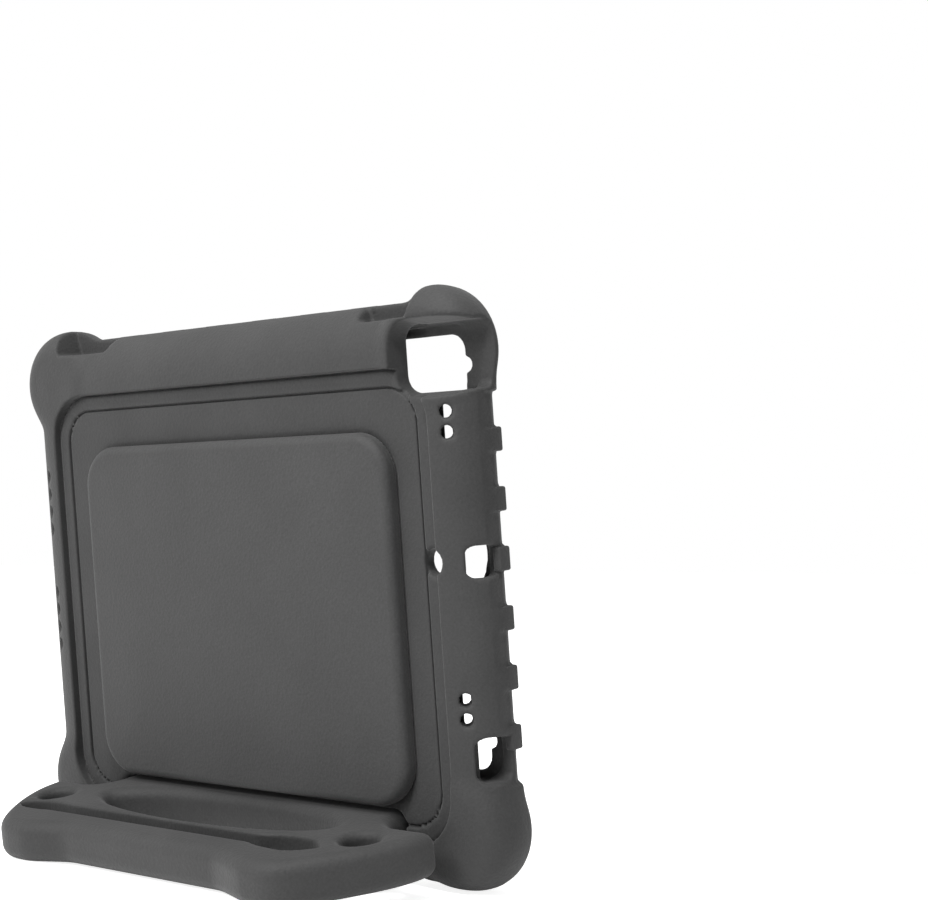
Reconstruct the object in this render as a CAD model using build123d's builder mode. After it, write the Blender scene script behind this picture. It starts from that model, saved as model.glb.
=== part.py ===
from build123d import *

import os
from math import cos, radians, sin, sqrt

# A moulded foam case for a tablet of about ten inches, standing on its ears and on its own
# carrying handle, which is folded back as a prop. Millimetres, +Z up. The screen side faces
# -Y, the handle lies towards +Y and the corner with the rear camera is at -X, +Z.

# Driving dimensions of the tablet's bay
bay_width, bay_height, bay_depth, bay_corner = 251.2, 174.7, 7.7, 10.0
back_wall, lip = 7.0, 5.1
window_width, window_height, window_corner = 239.0, 167.5, 6.4
window_bevel, window_bevel_depth = 6.0, 2.3
sensor_bump_r, sensor_bump, edge_notch_up, edge_notch_r = 19.0, 4.3, 72.0, 3.0

# The shell's outline, from the middle of the tablet
side_reach, top_reach = 132.7, 98.0
corner_across, corner_up, corner_r = 110.4, 78.0, 24.5
ear_corner_r = 25.0
side_blend, top_blend = 40.0, 12.0
border_rise = 2.5
rear_round, front_round = 15.0, 4.5

# The notch that the handle's tab turns in
notch_half, notch_floor, notch_r, ear_inner_r = 84.7, -99.8, 6.0, 10.0
hinge_below_notch, hinge_depth = 9.2, 9.0
ear_clearance = 0.4

# The back: field inside the raised border, a groove and the pad
field_half, field_top, field_r = 114.9, 72.6, 22.0
field_bottom = -112.0
groove_inset, groove_width, groove_depth = 7.0, 1.0, 1.0
groove_half, groove_r = field_half - groove_inset, field_r - groove_inset
pad_half, pad_top, pad_bottom, pad_r = 93.2, 48.9, -97.8, 18.0
pad_sink, pad_rise, pad_gap, pad_round = 1.5, 5.2, 0.4, 3.0

# Openings: the rear camera's, the rear microphone's, the side walls' and the top wall's
camera_inner, camera_outer, camera_low, camera_high, camera_r = -98.5, 150.0, 62.5, 87.0, 6.0
camera_forward = 14.5
rear_mic_across, rear_mic_up, rear_mic_r = 111.0, -2.6, 5.0
opening_r, opening_reach = 2.5, 20.0
side_openings = (  # side, lower end, upper end, how far back, how far forward
    (-1, -8.4, 3.8, -2.0, 13.5),
    (-1, -85.8, -68.6, -1.4, 13.5),
    (1, -12.6, 10.7, -4.0, 13.0),
)
top_openings = ((-105.0, -77.0), (79.0, 105.0))
top_opening_low, top_opening_flare, top_opening_back, top_opening_forward = 91.8, 4.0, 9.0, 11.5
sound_r, sound_across, sound_reach = 2.5, 124.6, 9.0
sound_holes = {-1: (54.9, 47.0, -54.0, -61.6), 1: (36.7, 28.5, 20.4, 12.2, -17.0, -25.1, -33.1, -41.2)}
spare = 5.0

# Grips along the front edge
side_grip_length, side_grip_pitch, side_grip_middle = 13.6, 22.6, -13.4
top_grip_length, top_grip_pitch = 13.4, 28.6
grip_bite, grip_face_bite, grip_slope = 1.5, 4.5, 15.5
side_grip_start, top_grip_start = 7.0, 13.5
side_grips = [side_grip_middle + side_grip_pitch * step for step in range(-3, 4)]
top_grips = [top_grip_pitch * step for step in range(-3, 4)]

# The handle, measured from its tab's end
handle_thickness, handle_round = 17.6, 6.0
tab_gap, tab_half, tab_corner = 0.4, 84.2, 6.0
shoulder_reach, shoulder_at, shoulder_r, shoulder_tip_r = 112.7, 29.7, 10.0, 3.5
hump_across, hump_at, valley_across, valley_at = 67.4, 87.6, 42.8, 81.4
hand_half, hand_half_height, hand_at, hand_round = 67.9, 16.0, 38.5, 4.0
strap_across, strap_at, strap_r = 91.2, 48.5, 7.7
slot_depth, slot_width, slot_at = 9.5, 9.0, 63.5
slot_middle, slot_length = 10.0, 156.0
finger_hollows = ((-66.0, 62.5, 16.5, 8.0), (80.5, 63.0, 16.0, 5.5))  # across, at, half sizes
wing_middle = ((105.3, 57.3), (85.1, 82.9))

# The hinge's stub pins and their sleeves
pin_r, pin_clearance, sleeve_r = 3.5, 0.05, 5.0
sleeve_setback, ear_sleeve_length, tab_sleeve_length, sleeve_end = 0.3, 20.0, 22.0, 1.5
pin_end_gap, pin_chamfer = 0.5, 0.4

# How far the case leans back and how far the handle droops from square to it, and where its
# frame stands so that the ears and the handle's far edge share one floor and the origin is
# under the middle of the whole part
lean, droop = 7.0, 2.2
lean_cos, lean_sin = cos(radians(lean)), sin(radians(lean))
droop_cos, droop_sin = cos(radians(droop)), sin(radians(droop))


def level(back_by, up_by):
    """Height of a point of the tilted case above the case frame's origin."""
    return up_by * lean_cos - back_by * lean_sin


def setback(back_by, up_by):
    """How far behind the case frame's origin a point of the tilted case is."""
    return back_by * lean_cos + up_by * lean_sin


hinge_up = notch_floor - hinge_below_notch
tab_overhang = hinge_below_notch - tab_gap


def handle_point(at, rise):
    """A point of the handle, so far behind the hinge and above its middle, in the case's frame."""
    return (at * droop_cos + rise * droop_sin - hinge_depth, hinge_up - at * droop_sin + rise * droop_cos)


end_round, rise_round = hump_at - tab_overhang - handle_round, handle_thickness / 2 - handle_round
floor_level = level(*handle_point(end_round, -rise_round)) - handle_round
ear_reach = level(-hinge_depth, hinge_up) - floor_level
ear_end = hinge_up - ear_reach

shell_depth = back_wall + bay_depth + lip
rearmost = setback(*handle_point(end_round, rise_round)) + handle_round
foremost = setback(front_round - shell_depth, ear_end + front_round) - front_round

forward = Vector(0, -lean_cos, lean_sin)
upward = Vector(0, lean_sin, lean_cos)
middle = Vector(0, -(rearmost + foremost) / 2, -floor_level)
back = Plane(origin=middle, x_dir=(1, 0, 0), z_dir=forward)
hinge_centre = middle + forward * hinge_depth + upward * hinge_up
outward = -forward * droop_cos - upward * droop_sin
handle_plan = Plane(origin=hinge_centre, x_dir=(1, 0, 0), z_dir=upward * droop_cos - forward * droop_sin)


def across_edge(up_by):
    """A plane square to the long side walls, its x across the case and its y forward."""
    return Plane(origin=middle + upward * up_by, x_dir=(1, 0, 0), z_dir=-upward)


def along_edge(across_by):
    """A plane square to the top wall, its x up the case and its y forward."""
    return Plane(origin=middle + Vector(across_by, 0, 0), x_dir=upward, z_dir=(1, 0, 0))


def side_face(side):
    """The bay's side wall as a plane: x up the case, y forward, facing outwards."""
    return Plane(origin=middle + Vector(side * (bay_width / 2 - spare), 0, 0), x_dir=upward, z_dir=(side, 0, 0))


def hinge_plane(side, across_by):
    """A plane square to the hinge's axis, facing away from the middle of the case."""
    return Plane(origin=hinge_centre + Vector(side * across_by, 0, 0), x_dir=upward, z_dir=(side, 0, 0))


def setback_of(edge):
    """How far behind the hinge an edge's middle is, along the handle."""
    return (edge.center() - hinge_centre).dot(outward)


def grip_profile(reach, start):
    """Section of one grip scoop on a wall that stands at reach: shallow, deeper at the front face."""
    return ((reach - grip_bite, start), (reach - grip_bite, grip_slope),
            (reach - grip_face_bite, shell_depth), (reach - grip_face_bite, shell_depth + spare),
            (reach + spare, shell_depth + spare), (reach + spare, start - grip_bite))


def blend_reach(rise, round_r, blend_r):
    """How far a blend leaves its straight edge from the bulge's middle."""
    return sqrt((round_r - rise) * (round_r + rise + 2 * blend_r))


def blend_meet(bulge, blend, round_r, blend_r):
    """Where a blend arc runs into a corner bulge, on the line between their middles."""
    share = round_r / (round_r + blend_r)
    return (bulge[0] + (blend[0] - bulge[0]) * share, bulge[1] + (blend[1] - bulge[1]) * share)


os.makedirs("parts", exist_ok=True)

shoulder_y, hump_y, valley_y = (at - tab_overhang for at in (shoulder_at, hump_at, valley_at))
wing_points = [(across, at - tab_overhang) for across, at in wing_middle]

pin_length = tab_sleeve_length + ear_sleeve_length - sleeve_end - pin_end_gap
pin_length += notch_half - tab_half + 2 * sleeve_setback

# Outline of the shell: straight edges with a bulge at each corner, down to the ears
corner = (corner_across, corner_up)
ear_corner = (corner_across, ear_end + ear_corner_r)
top_start = corner_across - blend_reach(top_reach - corner_up, corner_r, top_blend)
side_start = corner_up - blend_reach(side_reach - corner_across, corner_r, side_blend)
side_end = ear_corner[1] + blend_reach(side_reach - corner_across, ear_corner_r, side_blend)
side_middle = side_reach + side_blend
top_meet = blend_meet(corner, (top_start, top_reach + top_blend), corner_r, top_blend)
side_meet = blend_meet(corner, (side_middle, side_start), corner_r, side_blend)
ear_meet = blend_meet(ear_corner, (side_middle, side_end), ear_corner_r, side_blend)

with BuildPart() as body_shell:
    with BuildSketch(back.offset(-border_rise)):
        with BuildLine():
            Line((0, top_reach), (top_start, top_reach))
            RadiusArc((top_start, top_reach), top_meet, -top_blend)
            RadiusArc(top_meet, side_meet, corner_r)
            RadiusArc(side_meet, (side_reach, side_start), -side_blend)
            Line((side_reach, side_start), (side_reach, side_end))
            RadiusArc((side_reach, side_end), ear_meet, -side_blend)
            RadiusArc(ear_meet, (corner_across, ear_end), ear_corner_r)
            Line((corner_across, ear_end), (0, ear_end))
            mirror(about=Plane.YZ)
        make_face()
    extrude(amount=border_rise + shell_depth)
    fillet(body_shell.faces().sort_by(Axis(middle, forward))[0].edges(), rear_round)
    fillet(body_shell.faces().sort_by(Axis(middle, forward))[-1].edges(), front_round)

    # The notch between the ears, its ends flared where the ears are rounded off
    with BuildSketch(back.offset(-2 * border_rise)):
        with BuildLine():
            Line((0, notch_floor), (notch_half - notch_r, notch_floor))
            RadiusArc((notch_half - notch_r, notch_floor), (notch_half, notch_floor - notch_r), notch_r)
            Line((notch_half, notch_floor - notch_r), (notch_half, ear_end + ear_inner_r))
            RadiusArc((notch_half, ear_end + ear_inner_r), (notch_half + ear_inner_r, ear_end), -ear_inner_r)
            Line((notch_half + ear_inner_r, ear_end), (notch_half + ear_inner_r, ear_end - spare))
            Line((notch_half + ear_inner_r, ear_end - spare), (0, ear_end - spare))
            mirror(about=Plane.YZ)
        make_face()
    extrude(amount=2 * shell_depth, mode=Mode.SUBTRACT)

    # The bay for the tablet, and the window in front of it with a sloping surround
    with BuildSketch(back.offset(back_wall)):
        RectangleRounded(bay_width, bay_height, bay_corner)
    extrude(amount=bay_depth, mode=Mode.SUBTRACT)
    with BuildSketch(back.offset(back_wall)):
        RectangleRounded(window_width, window_height, window_corner)
    extrude(amount=shell_depth, mode=Mode.SUBTRACT)
    with BuildSketch(back.offset(shell_depth - window_bevel_depth)):
        RectangleRounded(window_width, window_height, window_corner)
    with BuildSketch(back.offset(shell_depth)):
        RectangleRounded(window_width + 2 * window_bevel, window_height + 2 * window_bevel,
                         window_corner + window_bevel)
    loft(mode=Mode.SUBTRACT)

    # The front-camera side of the window: a bump out of the edge and two small notches
    with BuildSketch(back.offset(back_wall + bay_depth)):
        with Locations((sensor_bump_r - window_width / 2 - sensor_bump, 0)):
            Circle(sensor_bump_r)
        with Locations(*[(-window_width / 2, up_by) for up_by in (-edge_notch_up, edge_notch_up)]):
            Circle(edge_notch_r)
    extrude(amount=shell_depth, mode=Mode.SUBTRACT)

    # The field behind, sunk inside the raised border, with its groove and the pad's seat
    with BuildSketch(back):
        with Locations((0, (field_top + field_bottom) / 2)):
            RectangleRounded(2 * field_half, field_top - field_bottom, field_r)
    extrude(amount=-2 * rear_round, mode=Mode.SUBTRACT)
    with BuildSketch(back):
        with Locations((0, (field_top + field_bottom) / 2)):
            RectangleRounded(2 * groove_half, field_top - field_bottom - 2 * groove_inset, groove_r)
            RectangleRounded(2 * (groove_half - groove_width),
                             field_top - field_bottom - 2 * (groove_inset + groove_width),
                             groove_r - groove_width, mode=Mode.SUBTRACT)
    extrude(amount=groove_depth, mode=Mode.SUBTRACT)
    with BuildSketch(back.offset(pad_sink)):
        with Locations((0, (pad_top + pad_bottom) / 2)):
            RectangleRounded(2 * (pad_half + pad_gap), pad_top - pad_bottom + 2 * pad_gap, pad_r + pad_gap)
    extrude(amount=-pad_sink - 2 * rear_round, mode=Mode.SUBTRACT)

    # The rear camera's cut-out, open round the side wall
    with BuildSketch(back.offset(camera_forward)):
        with Locations(((camera_inner - camera_outer) / 2, (camera_low + camera_high) / 2)):
            RectangleRounded(camera_outer + camera_inner, camera_high - camera_low, camera_r)
    extrude(amount=-shell_depth - camera_forward, mode=Mode.SUBTRACT)
    with BuildSketch(back.offset(back_wall)):
        with Locations((-rear_mic_across, rear_mic_up)):
            Circle(rear_mic_r)
    extrude(amount=-2 * back_wall, mode=Mode.SUBTRACT)

    # Openings in the side walls: each is a rounded window from the bay outwards
    for side, up_from, up_to, back_by, forward_by in side_openings:
        with BuildSketch(side_face(side)):
            with Locations(((up_from + up_to) / 2, side * (forward_by - back_by) / 2)):
                RectangleRounded(up_to - up_from, forward_by + back_by, opening_r)
        extrude(amount=opening_reach, mode=Mode.SUBTRACT)
    for across_from, across_to in top_openings:
        with BuildSketch(across_edge(bay_height / 2 - spare)):
            with Locations(((across_from + across_to) / 2, (back_wall + top_opening_forward) / 2)):
                Rectangle(across_to - across_from, top_opening_forward - back_wall)
        extrude(amount=-opening_reach, mode=Mode.SUBTRACT)
        with BuildSketch(back.offset(-top_opening_back)):
            with BuildLine():
                Polyline((across_from, top_opening_low), (across_to, top_opening_low),
                         (across_to + top_opening_flare, top_opening_low + opening_reach),
                         (across_from - top_opening_flare, top_opening_low + opening_reach), close=True)
            make_face()
        extrude(amount=top_opening_back + top_opening_forward, mode=Mode.SUBTRACT)

    # Round sound holes through the rear side edge into the bay's corner
    for side, ups in sound_holes.items():
        for up_by in ups:
            mouth = middle + Vector(side * sound_across, 0, 0) + upward * up_by
            out = Vector(side, 0, 0) - forward
            with BuildSketch(Plane(origin=mouth, x_dir=upward, z_dir=out)):
                Circle(sound_r)
            extrude(amount=sound_reach, both=True, mode=Mode.SUBTRACT)

    # Grips: scoops along the front edge of the side walls and of the top wall
    for up_by in side_grips:
        with BuildSketch(across_edge(up_by)):
            with BuildLine():
                Polyline(*grip_profile(side_reach, side_grip_start), close=True)
            make_face()
            mirror(about=Plane.YZ)
        extrude(amount=side_grip_length / 2, both=True, mode=Mode.SUBTRACT)
    for across_by in top_grips:
        with BuildSketch(along_edge(across_by)):
            with BuildLine():
                Polyline(*grip_profile(top_reach, top_grip_start), close=True)
            make_face()
        extrude(amount=top_grip_length / 2, both=True, mode=Mode.SUBTRACT)

    # The ears are rounded off about the hinge, and relieved where the handle's fillets sweep past
    with BuildSketch(Plane(origin=hinge_centre, x_dir=(1, 0, 0), z_dir=upward)):
        with Locations((tab_half, shoulder_y - shoulder_r)):
            Rectangle(side_reach - tab_half + spare, 2 * rear_round, align=(Align.MIN, Align.MIN))
        with Locations((tab_half + shoulder_r, shoulder_y - shoulder_r)):
            Circle(shoulder_r - ear_clearance, mode=Mode.SUBTRACT)
            Rectangle(side_reach, ear_reach - shoulder_y + shoulder_r, align=(Align.MIN, Align.MIN),
                      mode=Mode.SUBTRACT)
        mirror(about=Plane.YZ)
    revolve(axis=Axis(hinge_centre, (1, 0, 0)), revolution_arc=-90, mode=Mode.SUBTRACT)
    with BuildSketch(Plane(origin=hinge_centre, x_dir=upward, z_dir=(1, 0, 0))):
        Circle(hinge_below_notch)
    extrude(amount=notch_half, both=True, mode=Mode.SUBTRACT)

    # Blind bores in the ears for the hinge sleeves
    for side in (-1, 1):
        with BuildSketch(hinge_plane(side, notch_half + sleeve_setback)):
            Circle(sleeve_r)
        extrude(amount=ear_sleeve_length, mode=Mode.SUBTRACT)
        with BuildSketch(hinge_plane(side, notch_half - spare)):
            Circle(pin_r + pin_clearance)
        extrude(amount=2 * spare, mode=Mode.SUBTRACT)

body_shell.part.label = "body_shell"
export_step(body_shell.part, "parts/body_shell.step")

with BuildPart() as back_pad:
    with BuildSketch(back.offset(pad_sink)):
        with Locations((0, (pad_top + pad_bottom) / 2)):
            RectangleRounded(2 * pad_half, pad_top - pad_bottom, pad_r)
    extrude(amount=-pad_sink - pad_rise)
    fillet(back_pad.faces().sort_by(Axis(middle, forward))[0].edges(), pad_round)

back_pad.part.label = "back_pad"
export_step(back_pad.part, "parts/back_pad.step")

# The handle: a flat foam loop with a tab between the ears and two humps at its far end
with BuildPart() as handle:
    with BuildSketch(handle_plan):
        with BuildLine():
            Line((0, -tab_overhang), (tab_half - tab_corner, -tab_overhang))
            RadiusArc((tab_half - tab_corner, -tab_overhang), (tab_half, tab_corner - tab_overhang), -tab_corner)
            Line((tab_half, tab_corner - tab_overhang), (tab_half, shoulder_y - shoulder_r))
            RadiusArc((tab_half, shoulder_y - shoulder_r), (tab_half + shoulder_r, shoulder_y), shoulder_r)
            Line((tab_half + shoulder_r, shoulder_y), (shoulder_reach - shoulder_tip_r, shoulder_y))
            RadiusArc((shoulder_reach - shoulder_tip_r, shoulder_y),
                      (shoulder_reach, shoulder_y + shoulder_tip_r), -shoulder_tip_r)
            Spline((shoulder_reach, shoulder_y + shoulder_tip_r), *wing_points, (hump_across, hump_y),
                   tangents=((0, 1), (-1, 0)))
            Spline((hump_across, hump_y), (valley_across, valley_y), tangents=((-1, 0), (-1, 0)))
            Line((valley_across, valley_y), (0, valley_y))
            mirror(about=Plane.YZ)
        make_face()
        with Locations((0, hand_at - tab_overhang)):
            Ellipse(hand_half, hand_half_height, mode=Mode.SUBTRACT)
        with Locations(*[(side * strap_across, strap_at - tab_overhang) for side in (-1, 1)]):
            Circle(strap_r, mode=Mode.SUBTRACT)
    extrude(amount=handle_thickness / 2, both=True)

    # Rounded edges, except across the tab, whose end is a full round about its own middle
    for face in handle.faces().sort_by(Axis(hinge_centre, handle_plan.z_dir))[::len(handle.faces()) - 1]:
        rim = face.outer_wire().edges().filter_by(lambda edge: setback_of(edge) > shoulder_y + shoulder_tip_r / 2)
        fillet(rim, handle_round)
        fillet(face.inner_wires().sort_by(SortBy.LENGTH)[-1].edges(), hand_round)

    with BuildSketch(Plane(origin=hinge_centre, x_dir=outward, z_dir=(-1, 0, 0))):
        with Locations((-tab_overhang + handle_thickness / 4, 0)):
            Rectangle(handle_thickness / 2, 2 * handle_thickness)
        with Locations((handle_thickness / 2 - tab_overhang, 0)):
            Circle(handle_thickness / 2, mode=Mode.SUBTRACT)
    extrude(amount=tab_half + spare, both=True, mode=Mode.SUBTRACT)

    # Slot for a stylus in the face that is uppermost here, with a finger hollow at each end
    with BuildSketch(handle_plan.offset(handle_thickness / 2)):
        with Locations((slot_middle, slot_at - tab_overhang)):
            SlotOverall(slot_length, slot_width)
        for across_by, at, half, half_height in finger_hollows:
            with Locations((across_by, at - tab_overhang)):
                Ellipse(half, half_height)
    extrude(amount=-slot_depth, mode=Mode.SUBTRACT)

    for side in (-1, 1):
        with BuildSketch(hinge_plane(side, tab_half - sleeve_setback)):
            Circle(sleeve_r)
        extrude(amount=-tab_sleeve_length, mode=Mode.SUBTRACT)
        with BuildSketch(hinge_plane(side, tab_half - spare)):
            Circle(pin_r + pin_clearance)
        extrude(amount=2 * spare, mode=Mode.SUBTRACT)

handle.part.label = "handle"
export_step(handle.part, "parts/handle.step")

# On each side a plastic sleeve in the ear, another in the tab, and the stub pin they share
for side, name in ((-1, "left"), (1, "right")):
    with BuildPart() as ear_sleeve:
        with BuildSketch(hinge_plane(side, notch_half + sleeve_setback)):
            Circle(sleeve_r)
        extrude(amount=ear_sleeve_length)
        with BuildSketch(hinge_plane(side, notch_half + sleeve_setback)):
            Circle(pin_r + pin_clearance)
        extrude(amount=ear_sleeve_length - sleeve_end, mode=Mode.SUBTRACT)
    ear_sleeve.part.label = f"ear_sleeve_{name}"
    export_step(ear_sleeve.part, f"parts/ear_sleeve_{name}.step")

    with BuildPart() as tab_sleeve:
        with BuildSketch(hinge_plane(side, tab_half - sleeve_setback)):
            Circle(sleeve_r)
            Circle(pin_r, mode=Mode.SUBTRACT)
        extrude(amount=-tab_sleeve_length)
    tab_sleeve.part.label = f"tab_sleeve_{name}"
    export_step(tab_sleeve.part, f"parts/tab_sleeve_{name}.step")

    with BuildPart() as hinge_pin:
        with BuildSketch(hinge_plane(side, tab_half - sleeve_setback - tab_sleeve_length)):
            Circle(pin_r)
        extrude(amount=pin_length)
        chamfer(hinge_pin.edges(), pin_chamfer)
    hinge_pin.part.label = f"hinge_pin_{name}"
    export_step(hinge_pin.part, f"parts/hinge_pin_{name}.step")
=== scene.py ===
"""A moulded foam tablet case that stands on its ears and its folded-back handle.

The foam pieces are modelled as distance fields in millimetres, so that every opening, scoop
and groove keeps the soft rounding of moulded foam, and are meshed with surface nets.
"""

import logging
from dataclasses import dataclass
from enum import Enum
from math import cos, pi, radians, sin, sqrt
from typing import Callable

import bpy
import numpy as np
from mathutils import Matrix, Vector

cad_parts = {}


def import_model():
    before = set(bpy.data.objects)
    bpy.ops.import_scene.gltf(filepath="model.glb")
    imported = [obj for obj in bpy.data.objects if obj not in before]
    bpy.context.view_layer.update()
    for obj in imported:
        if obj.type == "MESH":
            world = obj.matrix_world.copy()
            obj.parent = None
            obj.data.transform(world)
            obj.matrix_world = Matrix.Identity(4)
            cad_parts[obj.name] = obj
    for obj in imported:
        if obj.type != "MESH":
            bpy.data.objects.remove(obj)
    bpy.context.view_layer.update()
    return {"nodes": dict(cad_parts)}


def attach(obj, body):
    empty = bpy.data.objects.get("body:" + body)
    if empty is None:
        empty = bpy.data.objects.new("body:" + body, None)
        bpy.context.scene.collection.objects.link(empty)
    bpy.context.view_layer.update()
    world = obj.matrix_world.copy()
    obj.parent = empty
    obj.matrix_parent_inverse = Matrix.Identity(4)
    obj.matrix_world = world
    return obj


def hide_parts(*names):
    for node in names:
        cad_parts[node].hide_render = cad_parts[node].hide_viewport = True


log = logging.getLogger("tablet_case")
Array = np.ndarray
Field = Callable[[Array, Array, Array], Array]
Pair = tuple[float, float]
Triple = tuple[float, float, float]
Outline = list[Pair]
Node, Socket, Tree = bpy.types.Node, bpy.types.NodeSocket, bpy.types.NodeTree
Material, Piece = bpy.types.Material, bpy.types.Object
MM = 0.001
GRID_MARGIN = 3.0
CASE_HEART = Vector((0, 0, 0.12))


class Body(Enum):
    """The frame's two bodies."""

    CASE = "case"
    HANDLE = "handle"


# ---- distance fields


def round_and(a: Array, b: Array, radius: float) -> Array:
    """Intersection of two fields, with the edge between them rounded to radius."""
    inner = np.minimum(np.maximum(a, b), -radius)
    return inner + np.hypot(np.maximum(a + radius, 0.0), np.maximum(b + radius, 0.0))


def round_cut(a: Array, b: Array, radius: float) -> Array:
    """Field a less field b, with the rim of the cut rounded to radius."""
    return round_and(a, -b, radius)


def round_or(a: Array, b: Array, radius: float) -> Array:
    """Union of two fields, with a fillet of radius in the corner between them."""
    return -round_and(-a, -b, radius)


def soft_or(a: Array, b: Array, reach: float) -> Array:
    """Union of two fields, blended where they are within reach of each other."""
    near = np.maximum(reach - np.abs(a - b), 0.0) / reach
    return np.minimum(a, b) - near * near * reach / 4


def ramp(value: Array, start: float, end: float) -> Array:
    """A smooth step from 0 at start to 1 at end."""
    share = np.clip((value - start) / (end - start), 0.0, 1.0)
    return share * share * (3 - 2 * share)


def round_box(x: Array, y: Array, half_x: float, half_y: float, radius: float) -> Array:
    """Flat distance to a rectangle about the origin with rounded corners."""
    over_x = np.abs(x) - half_x + radius
    over_y = np.abs(y) - half_y + radius
    inside = np.minimum(np.maximum(over_x, over_y), 0.0)
    return inside + np.hypot(np.maximum(over_x, 0.0), np.maximum(over_y, 0.0)) - radius


def polygon_field(outline: Outline) -> Callable[[Array, Array], Array]:
    """Makes the exact flat distance field of a closed outline, less than zero inside."""
    points = np.array(outline, dtype=np.float64)
    points = points[np.linalg.norm(points - np.roll(points, -1, axis=0), axis=1) > 1e-6]
    start, end = points, np.roll(points, -1, axis=0)

    def distance(x: Array, y: Array) -> Array:
        """Signed distance at x, y."""
        x, y = np.broadcast_arrays(x, y)
        px, py = x.ravel(), y.ravel()
        best = np.full(px.shape, np.inf)
        inside = np.zeros(px.shape, dtype=bool)
        for (ax, ay), (bx, by) in zip(start, end):
            run_x, run_y = bx - ax, by - ay
            along = ((px - ax) * run_x + (py - ay) * run_y) / (run_x**2 + run_y**2)
            along = np.clip(along, 0.0, 1.0)
            best = np.minimum(best, (px - ax - along * run_x) ** 2 + (py - ay - along * run_y) ** 2)
            crosses = (ay > py) != (by > py)
            if run_y:
                inside ^= crosses & (px < ax + (py - ay) * run_x / run_y)
        return (np.sqrt(best) * np.where(inside, -1.0, 1.0)).reshape(x.shape)

    return distance


def arc(centre: Pair, radius: float, first: float, last: float, step: float = 4.0) -> Outline:
    """Points along an arc, from the angle first to the angle last, in degrees."""
    count = max(2, int(abs(last - first) / step) + 1)
    angles = [radians(first + (last - first) * index / count) for index in range(count + 1)]
    return [(centre[0] + radius * cos(angle), centre[1] + radius * sin(angle)) for angle in angles]


def curve(points: Outline, start_pull: Pair, end_pull: Pair, steps: int) -> Outline:
    """A smooth line through points, leaving and arriving along the given pulls."""
    pulls = [start_pull]
    for before, after in zip(points, points[2:]):
        pulls.append(((after[0] - before[0]) / 2, (after[1] - before[1]) / 2))
    pulls.append(end_pull)
    line: Outline = []
    for (a, b), (pull_a, pull_b) in zip(zip(points, points[1:]), zip(pulls, pulls[1:])):
        for index in range(steps):
            t = index / steps
            weights = (2 * t**3 - 3 * t**2 + 1, t**3 - 2 * t**2 + t, 3 * t**2 - 2 * t**3, t**3 - t**2)
            line.append(tuple(np.dot(weights, (a[k], pull_a[k], b[k], pull_b[k])) for k in (0, 1)))
    line.append(points[-1])
    return line


def mirrored(half: Outline) -> Outline:
    """A whole outline from the half that runs from the middle line round to the middle line."""
    other = [(-x, y) for x, y in reversed(half) if x > 1e-6]
    return half + other


def ellipse(centre: Pair, half: Pair, count: int = 72) -> Outline:
    """Points round an ellipse."""
    angles = [2 * pi * index / count for index in range(count)]
    return [(centre[0] + half[0] * cos(angle), centre[1] + half[1] * sin(angle)) for angle in angles]


# ---- meshing


def spaced(stops: list[Pair]) -> Array:
    """A grid axis from stops of (position, step from there on); the last stop only ends it."""
    values: list[float] = []
    for (low, step), (high, _) in zip(stops, stops[1:]):
        count = max(1, round((high - low) / step))
        values.extend(low + (high - low) * index / count for index in range(count))
    values.append(stops[-1][0])
    return np.array(values)


def both_ways(stops: list[Pair]) -> list[Pair]:
    """Stops from the middle outwards, repeated on the other side of the middle."""
    result = [(-stops[k][0], stops[k - 1][1]) for k in range(len(stops) - 1, 0, -1)]
    return result + stops


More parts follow.
